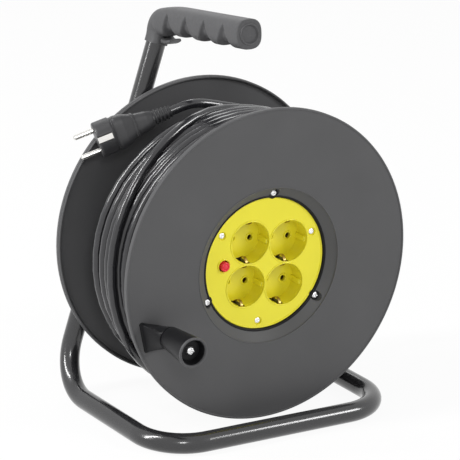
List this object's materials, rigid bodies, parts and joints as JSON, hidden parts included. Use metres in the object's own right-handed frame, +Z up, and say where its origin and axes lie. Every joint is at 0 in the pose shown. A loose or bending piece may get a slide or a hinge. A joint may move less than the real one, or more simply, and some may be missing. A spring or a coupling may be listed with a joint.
{
  "type": "extension cord reel",
  "caption": "Cord reel on a bent tube stand: a turning drum with a recessed socket plate, crank and reset button, a wound cord with an earthed plug, and a moulded carrying grip.",
  "frame": {"origin": "on the floor under the middle of the reel's box, its cord and plug left out", "axes": "+X to the user's right, +Y along the axle away from the socket side, +Z up"},
  "size_m": [0.29, 0.2318, 0.3805],
  "materials": {
    "stand_tube": "black powder coat, satin",
    "drum_plastic": "black, satin moulded",
    "grip_plastic": "black, fine grained",
    "plate_yellow": "yellow, semi-gloss",
    "button_red": "red, glossy",
    "inner_plastic": "dark, matte",
    "nylon": "natural, smooth",
    "zinc_steel": "zinc plated",
    "contact_brass": "plain",
    "nickel": "nickel plated",
    "cord_sheath": "black rubber, slight sheen",
    "plug_rubber": "black, moulded",
    "wire_brown": "brown",
    "wire_blue": "blue",
    "wire_green": "green and yellow"
  },
  "bodies": {
    "stand": {"stand_tube": "stand_tube", "handle_grip": "grip_plastic", "grip_end_cap": "grip_plastic", "bracket_plate": "stand_tube", "spindle_sleeve": "zinc_steel", "thrust_washer": "nylon", "spindle_washer": "zinc_steel", "spindle_nut": "zinc_steel", "spindle_bolt": "zinc_steel", "saddle_washer": "zinc_steel"},
    "drum": {"rear_flange": "drum_plastic", "front_flange": "drum_plastic", "drum_core": "drum_plastic", "hub_bushes": "nylon", "rim_screws": "zinc_steel", "rear_flange_screws": "zinc_steel", "socket_plate": "plate_yellow", "socket_cups": "plate_yellow", "plate_screws": "zinc_steel", "socket_back_cover": "inner_plastic", "live_contact_strip": "contact_brass", "neutral_contact_strip": "contact_brass", "earth_clips": "nickel", "thermal_cutout": "inner_plastic", "terminal_block": "nylon", "wire_live": "wire_brown", "wire_earth": "wire_green", "wire_neutral": "wire_blue", "cord_gland": "inner_plastic", "gland_nut": "inner_plastic", "crank_stem": "drum_plastic", "crank_screw": "zinc_steel", "knob_washer": "zinc_steel", "cord_winding": "cord_sheath", "cord_inner_layers": "cord_sheath", "plug_body": "plug_rubber", "plug_pins": "nickel", "plug_earth_strips": "nickel", "plug_strain_relief": "plug_rubber"},
    "knob": {"crank_knob": "grip_plastic"},
    "button": {"reset_button": "button_red"}
  },
  "joints": [
    {"name": "drum_spin", "type": "hinge", "parent": "stand", "child": "drum", "pos_m": [0, 0.0161, 0.1528], "axis": [0, 1, 0], "continuous": true},
    {"name": "knob_spin", "type": "hinge", "parent": "drum", "child": "knob", "pos_m": [-0.1125, -0.0949, 0.10962], "axis": [0, 1, 0], "continuous": true},
    {"name": "reset_push", "type": "slide", "parent": "drum", "child": "button", "axis": [0, 1, 0], "range_m": [0, 0.0018], "stiffness_N_per_m": 800, "springref_m": -0.001}
  ]
}
